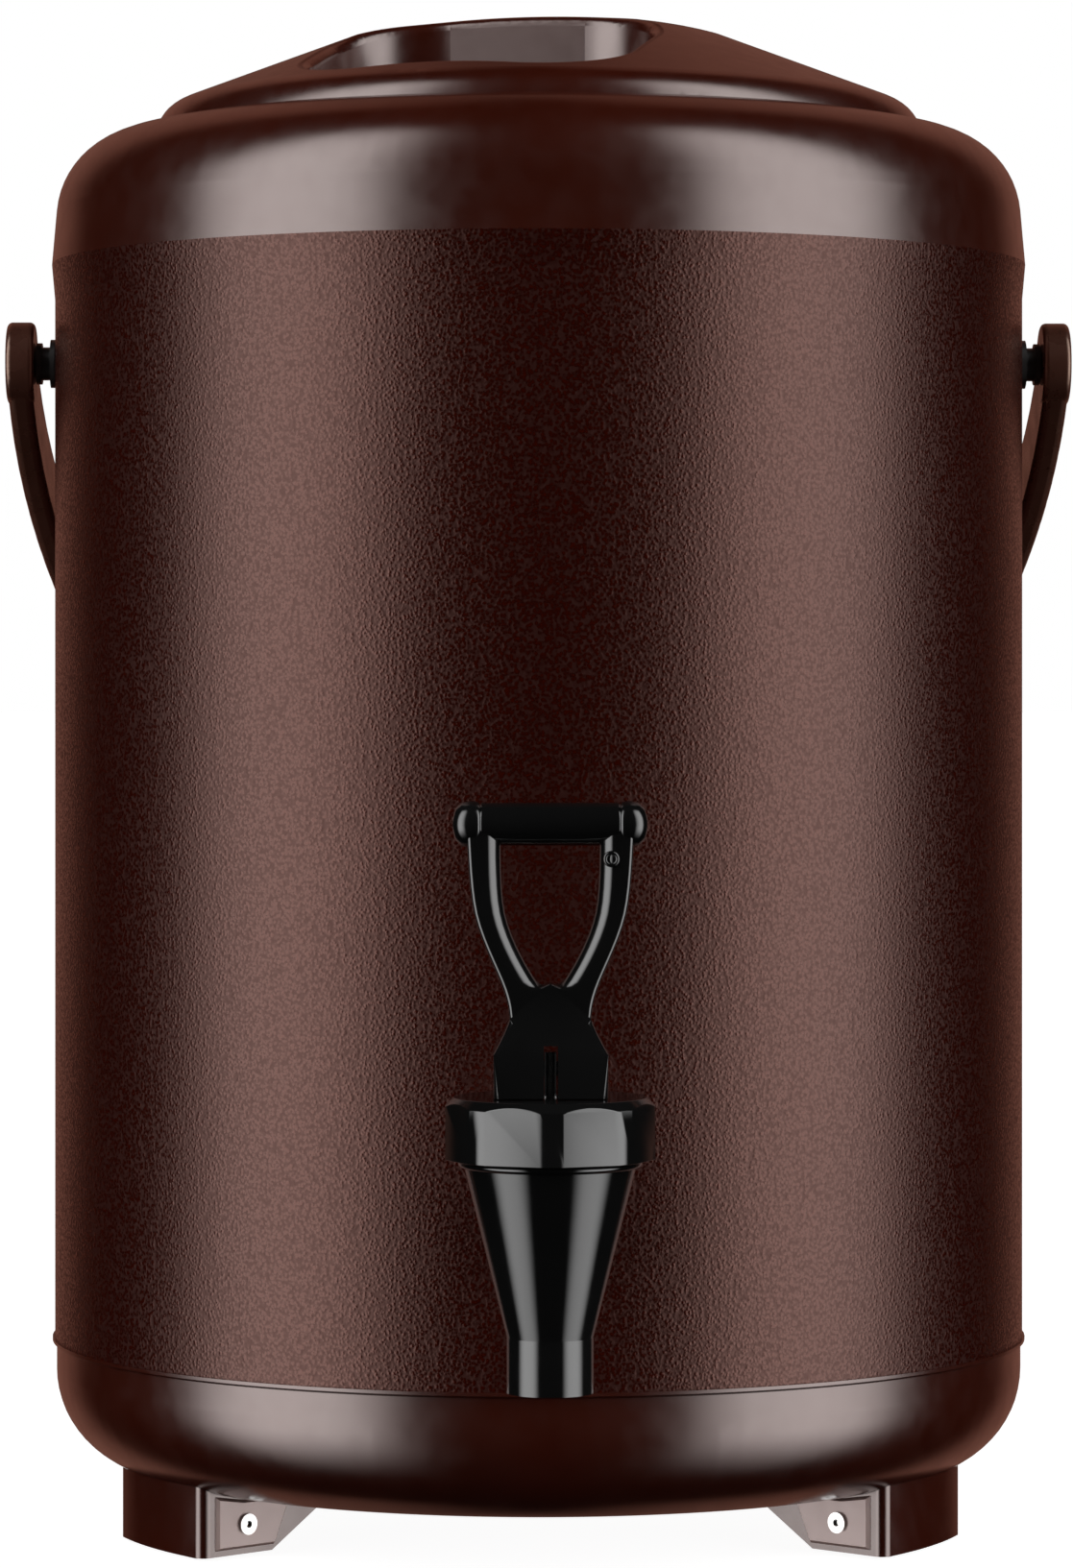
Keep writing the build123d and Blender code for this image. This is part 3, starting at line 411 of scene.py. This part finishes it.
# %% Smooth curves through points
def smooth_curve(points, steps=8):
    """Points on a curve through the given points, each (across, up)."""
    flat = [Vector((across, up)) for across, up in points]
    ends = [flat[0], *flat, flat[-1]]
    curve = []
    for before, here, there, after in zip(ends, ends[1:], ends[2:], ends[3:]):
        leave = here + (there - before) / 6
        arrive = there - (after - here) / 6
        curve += interpolate_bezier(here, leave, arrive, there, steps)[:-1]
    return curve + [flat[-1]]


COLLAR_HALF, COLLAR_FOOT, COLLAR_TOP, COLLAR_DEPTH = 14.6, 0.3, 11.6, 24.0
WAIST_HALF, WAIST_TOP, WAIST_BEND = 10.4, 20.2, (12.0, 16.4)
waist_curve = smooth_curve([(COLLAR_HALF, COLLAR_TOP), WAIST_BEND, (WAIST_HALF, WAIST_TOP)], steps=4)
print("points on the waist's curve:", len(waist_curve))

# %% Lever collar and waist
SLOT_HALF, SLOT_TOP = 1.8, 13.6
LOOP_FOOT, ARM_DEPTH = 29.2, 10.0
half_outline = [
    (SLOT_HALF, COLLAR_FOOT),
    (COLLAR_HALF, COLLAR_FOOT),
    *waist_curve,
    (0.0, LOOP_FOOT),
    (0.0, SLOT_TOP),
    (SLOT_HALF, SLOT_TOP),
]
lever = bmesh.new()
lever.faces.new([lever.verts.new((across, 0.0, up)) for across, up in half_outline])
for height in (COLLAR_TOP, WAIST_TOP):
    everything = lever.verts[:] + lever.edges[:] + lever.faces[:]
    bmesh.ops.bisect_plane(
        lever, geom=everything, plane_co=(0.0, 0.0, height), plane_no=(0.0, 0.0, 1.0)
    )
everything = lever.verts[:] + lever.edges[:] + lever.faces[:]
bmesh.ops.mirror(lever, geom=everything, matrix=Matrix(), merge_dist=0.001, axis="X")
bmesh.ops.recalc_face_normals(lever, faces=lever.faces)
thick = bmesh.ops.extrude_face_region(lever, geom=lever.faces[:], use_keep_orig=True)
front_side = {part for part in thick["geom"] if isinstance(part, bmesh.types.BMVert)}
for vert in lever.verts:
    rise = min(max((vert.co.z - COLLAR_TOP) / (WAIST_TOP - COLLAR_TOP), 0.0), 1.0)
    depth = COLLAR_DEPTH + (ARM_DEPTH - COLLAR_DEPTH) * rise
    vert.co.y = (-0.5 if vert in front_side else 0.5) * depth
bmesh.ops.recalc_face_normals(lever, faces=lever.faces)
print("collar outline points:", len(half_outline), "faces:", len(lever.faces))

# %% [markdown]
# ## The collar's rounded sides
# The collar's outer edges keep a small radius, which shows as a thin bright outline. They are the edges
# where an outer side wall, whose face looks away from the middle, meets the front or the back. A bevel
# on every edge would also round the slot and the foot, which are crisp on the real moulding.

# %% Round the collar
SIDE_ROUND = 1.2
SIDEWAYS, AWAY, RISE, WALL_SLACK = 0.3, 0.1, 0.1, 0.1


def is_outer_wall(face):
    """Whether a face of the collar looks sideways and away from the middle."""
    return abs(face.normal.y) < SIDEWAYS and face.normal.x * face.calc_center_median().x > AWAY


def is_side_rim(edge):
    """Whether an edge runs up the collar's outside, between a side wall and the front or the back."""
    one, two = (vert.co for vert in edge.verts)
    walls = [is_outer_wall(face) for face in edge.link_faces].count(True)
    runs_up = abs(one.z - two.z) > RISE and abs(one.y - two.y) < ARM_DEPTH / 2
    return walls == 1 and runs_up and min(abs(one.x), abs(two.x)) > WAIST_HALF - WALL_SLACK


side_rims = [edge for edge in lever.edges if is_side_rim(edge)]
bmesh.ops.bevel(
    lever,
    geom=side_rims,
    offset=SIDE_ROUND,
    offset_type="OFFSET",
    affect="EDGES",
    segments=4,
    profile=0.5,
    material=-1,
    clamp_overlap=False,
)
print("rounded edges of the collar:", len(side_rims))

# %% [markdown]
# ## The lever's arms
# A finger pulls on the loop, so the arms are rounded widely on the loop's side, which shows as a broad
# streak of light, and only a little on the outside. Each arm is a row of cross-sections between two
# smooth rails, joined by faces. A bevel could not give two different radii on so narrow a bar. The first
# few sections are rounded less, because they grow out of the waist.


# %% Arms of the lever
def arm_section(width, loop_round, steps=8):
    """Cross-section of an arm: points of (distance from the outside, depth), front first, then back."""
    half_depth = ARM_DEPTH / 2
    front = []
    for turn in (pi / 2 * step / steps for step in range(steps + 1)):
        front.append((SIDE_ROUND * (1 - cos(turn)), half_depth - SIDE_ROUND * (1 - sin(turn))))
    for turn in (pi / 2 * step / steps for step in range(steps + 1)):
        front.append((width - loop_round * (1 - sin(turn)), half_depth - loop_round * (1 - cos(turn))))
    return front + [(across, -depth) for across, depth in reversed(front)]


BAR_HEIGHT = 69.9
LOOP_ROUND, GROWING_SECTIONS = 4.6, 8
outer_rail = smooth_curve([(WAIST_HALF, WAIST_TOP), (12.0, 27.6), (19.5, 47.1), (21.6, BAR_HEIGHT)])
loop_rail = smooth_curve([(0.0, LOOP_FOOT), (4.1, 30.6), (11.5, 47.1), (12.7, BAR_HEIGHT)])
for side in (-1, 1):
    rings = []
    for count, (outer, inner) in enumerate(zip(outer_rail, loop_rail)):
        across = inner - outer
        loop_round = LOOP_ROUND * min((count + 1) / GROWING_SECTIONS, 1.0)
        section = arm_section(across.length, loop_round)
        points = [(outer + across.normalized() * reach, depth) for reach, depth in section]
        rings.append([lever.verts.new((side * point.x, -depth, point.y)) for point, depth in points])
    for low_ring, high_ring in zip(rings, rings[1:]):
        for step in range(len(low_ring)):
            lever.faces.new((low_ring[step - 1], low_ring[step], high_ring[step], high_ring[step - 1]))
    lever.faces.new(rings[0])
    lever.faces.new(rings[-1])
print("sections of each arm:", len(outer_rail))

# %% [markdown]
# ## Grip bar and eyelet
# The bar that joins the arms is turned: a plain middle, a fine groove, and a rounded knob at each end. A
# small ring on the right arm is an eyelet. Both are round about an axis, so a profile is drawn once and
# spun. A cylinder with added loops could make the bar too, but its profile would be harder to read.

# %% Grip bar and eyelet
BAR_RADIUS, BAR_HALF = 6.0, 25.0
bar_profile = [
    (0.0, 5.5),
    (17.4, 5.5),
    (18.0, 5.1),
    (18.6, 5.75),
    (20.4, BAR_RADIUS),
    (22.6, 5.6),
    (24.2, 4.2),
    (BAR_HALF, 1.6),
    (BAR_HALF, 0.0),
]
EYELET_ACROSS, EYELET_DROP, EYELET_RADIUS, EYELET_WIRE = 15.6, 8.8, 1.6, 0.55


def spin_profile(mesh, points, centre, axis, steps=48):
    """Turn a profile of points about an axis through a centre."""
    verts = [mesh.verts.new(point) for point in points]
    edges = [mesh.edges.new(pair) for pair in zip(verts, verts[1:])]
    bmesh.ops.spin(
        mesh, geom=verts + edges, cent=centre, axis=axis, angle=2 * pi, steps=steps, use_merge=True
    )


for side in (-1, 1):
    knob = [(side * along, 0.0, BAR_HEIGHT + radius) for along, radius in bar_profile]
    spin_profile(lever, knob, (0.0, 0.0, BAR_HEIGHT), (1.0, 0.0, 0.0))
eyelet_centre = Vector((EYELET_ACROSS, -ARM_DEPTH / 2, BAR_HEIGHT - EYELET_DROP))
wire = [
    eyelet_centre + Vector((EYELET_RADIUS + EYELET_WIRE * cos(turn), EYELET_WIRE * sin(turn), 0.0))
    for turn in (2 * pi * step / 10 for step in range(11))
]
spin_profile(lever, wire, eyelet_centre, (0.0, 1.0, 0.0), steps=24)
bmesh.ops.scale(lever, vec=(MM, MM, MM), verts=lever.verts)
bmesh.ops.translate(lever, vec=(0.0, tap_y, bonnet_top), verts=lever.verts)
make_piece(lever, "lever_moulding", "tap_lever", "gloss_black", crisp=40.0, instead_of="tap_lever")

# %% [markdown]
# ## The spout's lip
# Under the bonnet the spout ends in a thin rolled lip. It is a small ring, turned about the tap's axis
# from a rounded profile. A torus would do as well, but the profile leaves out the half that the spout
# hides.

# %% Lip under the bonnet
BONNET_SKIRT, LIP_RADIUS, LIP_PROUD, LIP_HEIGHT = 16.0, 22.0, 1.7, 2.2
lip = bmesh.new()
lip_profile = [
    (LIP_RADIUS + LIP_PROUD * sin(turn), 0.0, -LIP_HEIGHT / 2 * (1 - cos(turn)))
    for turn in (pi * step / 8 for step in range(9))
]
spin_profile(lip, lip_profile, (0.0, 0.0, 0.0), (0.0, 0.0, 1.0), steps=64)
bmesh.ops.scale(lip, vec=(MM, MM, MM), verts=lip.verts)
bmesh.ops.translate(lip, vec=(0.0, tap_y, bonnet_top - BONNET_SKIRT * MM), verts=lip.verts)
make_piece(lip, "spout_lip", "barrel", "gloss_black")

# %% [markdown]
# ## The valve's spring
# When the lever is tilted, the stem lifts the seat cup, and the spring above it is pressed together. A
# rigid solid can't do that, so a copy of the coil stands for it.

# %% Copy of the spring
coil = bmesh.new()
coil.from_mesh(nodes["valve_spring"].data)
spring = make_piece(
    coil, "spring_coil", "barrel", slots["valve_spring"], crisp=60.0, instead_of="valve_spring"
)
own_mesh(spring)

# %% [markdown]
# ## The camera
# The photograph was taken from nearly straight in front with a long lens, a little to the left. Its
# picture is 1117 by 1633 pixels, so a focal length in pixels becomes a lens in millimetres on the
# sensor's long side. The camera looks level, and a shift frames the barrel as the photograph does, which
# keeps the upright lines upright.

# %% Camera
PHOTO_WIDTH, PHOTO_HEIGHT = 1117, 1633
FOCAL_PIXELS = 5731.0
AXIS_COLUMN, HORIZON_ROW = 560.7, 709.0
CAMERA_REACH, CAMERA_HEIGHT, CAMERA_TURN = 1.6, 0.243, radians(0.9)
lens = bpy.data.cameras.new("camera")
lens.sensor_width = 36.0
lens.lens = FOCAL_PIXELS * lens.sensor_width / PHOTO_HEIGHT
lens.shift_x = (PHOTO_WIDTH / 2 - AXIS_COLUMN) / PHOTO_HEIGHT
lens.shift_y = (HORIZON_ROW - PHOTO_HEIGHT / 2) / PHOTO_HEIGHT
camera = bpy.data.objects.new("camera", lens)
camera.location = (-CAMERA_REACH * sin(CAMERA_TURN), -CAMERA_REACH * cos(CAMERA_TURN), CAMERA_HEIGHT)
camera.rotation_euler = (pi / 2, 0.0, -CAMERA_TURN)
bpy.context.collection.objects.link(camera)
bpy.context.scene.camera = camera
print("lens", round(lens.lens, 1), "mm, shift", round(lens.shift_x, 4), round(lens.shift_y, 4))

# %% [markdown]
# ## Studio light
# The photograph shows two tall soft lights, one on each side of the camera. Two dim warm lights behind
# the barrel give its rims a thin glow. Area lights leave hard-edged patches on gloss plastic, so the
# lights here are soft lobes painted into the surrounding world. Each lobe is the angle between a
# direction and the lamp's own direction, eased from dark to bright. Flattening the direction before it
# is measured makes the lobes tall.


# %% A soft lobe of light
def light_bank(tree, direction, azimuth, edge, core, strength):
    """A soft lobe of light; azimuth is degrees round from the front, edge and core are its angles."""
    aim = (sin(radians(azimuth)), -cos(radians(azimuth)), 0.0)
    facing = add_node(tree, "ShaderNodeVectorMath", {1: aim}, operation="DOT_PRODUCT")
    tree.links.new(direction, facing.inputs[0])
    ends = {"From Min": cos(radians(edge)), "From Max": cos(radians(core)), "To Max": strength}
    ease = add_node(tree, "ShaderNodeMapRange", ends, interpolation_type="SMOOTHSTEP")
    tree.links.new(facing.outputs["Value"], ease.inputs["Value"])
    return ease.outputs["Result"]


def join(tree, operation, first, second):
    """Two numbers added or multiplied."""
    node = add_node(tree, "ShaderNodeMath", operation=operation)
    tree.links.new(first, node.inputs[0])
    tree.links.new(second, node.inputs[1])
    return node.outputs[0]


FLATTEN = (1.0, 1.0, 0.22)
world = bpy.data.worlds.new("studio")
world.use_nodes = True
bpy.context.scene.world = world
sky = world.node_tree
sight = add_node(sky, "ShaderNodeTexCoord").outputs["Generated"]
flat_sight = add_node(sky, "ShaderNodeVectorMath", {1: FLATTEN}, operation="MULTIPLY")
sky.links.new(sight, flat_sight.inputs[0])
level = add_node(sky, "ShaderNodeVectorMath", operation="NORMALIZE")
sky.links.new(flat_sight.outputs["Vector"], level.inputs[0])
direction = level.outputs["Vector"]
print("world:", world.name)

# %% Two banks in front and two room lights behind
LEFT_BANK = {"azimuth": -62.0, "edge": 33.0, "core": 3.0, "strength": 2.95}
RIGHT_BANK = {"azimuth": 64.0, "edge": 34.0, "core": 3.0, "strength": 2.82}
ROOM_AZIMUTH, ROOM_LIGHT = 160.0, {"edge": 25.0, "core": 4.0, "strength": 0.28}
banks = [light_bank(sky, direction, **bank) for bank in (LEFT_BANK, RIGHT_BANK)]
room = [light_bank(sky, direction, side * ROOM_AZIMUTH, **ROOM_LIGHT) for side in (-1, 1)]
bank_light = join(sky, "ADD", *banks)
room_light = join(sky, "ADD", *room)
print("light banks:", len(banks), "room lights:", len(room))

# %% [markdown]
# ## Mixing the light
# The banks fade out below the horizon, so that the underside of the base stays dark. A trace of light
# from all round keeps the darkest places from turning fully black. The camera itself sees plain white
# instead of the lights, as in a cut-out photograph: a Light Path node tells its rays from the others.

# %% Mix the lights
FADE_LOW, FADE_HIGH = -0.95, -0.25
AMBIENT = 0.004
ROOM_COLOUR = (1.0, 0.42, 0.3, 1.0)
WHITE = (1.0, 1.0, 1.0, 1.0)
split = add_node(sky, "ShaderNodeSeparateXYZ")
sky.links.new(sight, split.inputs[0])
fade = {"From Min": FADE_LOW, "From Max": FADE_HIGH}
above_floor = add_node(sky, "ShaderNodeMapRange", fade, interpolation_type="SMOOTHSTEP")
sky.links.new(split.outputs["Z"], above_floor.inputs["Value"])
lit = join(sky, "MULTIPLY", bank_light, above_floor.outputs["Result"])
ambient = add_node(sky, "ShaderNodeMath", {1: AMBIENT}, operation="ADD")
sky.links.new(lit, ambient.inputs[0])
glow = add_node(sky, "ShaderNodeBackground")
sky.links.new(ambient.outputs[0], glow.inputs["Strength"])
warm = add_node(sky, "ShaderNodeBackground", {"Color": ROOM_COLOUR})
sky.links.new(room_light, warm.inputs["Strength"])
lights = add_node(sky, "ShaderNodeAddShader")
sky.links.new(glow.outputs["Background"], lights.inputs[0])
sky.links.new(warm.outputs["Background"], lights.inputs[1])
print("ambient light:", AMBIENT)

# %% What the camera sees
background = sky.nodes["Background"]
background.inputs["Color"].default_value = WHITE
background.inputs["Strength"].default_value = 1.0
rays = add_node(sky, "ShaderNodeLightPath")
choose = add_node(sky, "ShaderNodeMixShader")
sky.links.new(rays.outputs["Is Camera Ray"], choose.inputs["Fac"])
sky.links.new(lights.outputs["Shader"], choose.inputs[1])
sky.links.new(background.outputs["Background"], choose.inputs[2])
sky.links.new(choose.outputs["Shader"], sky.nodes["World Output"].inputs["Surface"])
bpy.context.scene.view_settings.view_transform = "Standard"
print("nodes in the world:", len(sky.nodes))

# %% [markdown]
# ## The floor
# A pale floor carries a faint contact shadow. It is lit a little by itself, so that it runs into the
# white background with no line, and it is left out of the reflections, as a white table in a bright
# studio is hidden by its own glare. A shadow catcher could carry the shadow too, but it needs a see-through
# film, which is a render setting.

# %% Floor
FLOOR_SIDE, FLOOR_GLOW, MOTTLE_PER_METRE = 40.0, 0.95, 3.0
PALE_LOW, PALE_HIGH = (0.4, 0.4, 0.4), (0.42, 0.42, 0.42)
floor_mesh = bmesh.new()
bmesh.ops.create_grid(floor_mesh, x_segments=4, y_segments=4, size=FLOOR_SIDE)
floor_data = bpy.data.meshes.new("floor")
floor_mesh.to_mesh(floor_data)
floor_mesh.free()
floor = bpy.data.objects.new("floor", floor_data)
bpy.context.collection.objects.link(floor)
paint, tree, shader = start_finish("floor_paint")
shader.inputs["Roughness"].default_value = 0.9
shader.inputs["Specular IOR Level"].default_value = 0.0
shader.inputs["Emission Color"].default_value = WHITE
shader.inputs["Emission Strength"].default_value = FLOOR_GLOW
mottle = between(tree, noise(tree, place_of(tree), MOTTLE_PER_METRE), PALE_LOW, PALE_HIGH)
tree.links.new(mottle, shader.inputs["Base Color"])
floor_data.materials.append(paint)
floor.visible_glossy = False
floor.visible_diffuse = False
print("floor reaches", FLOOR_SIDE, "m each way")
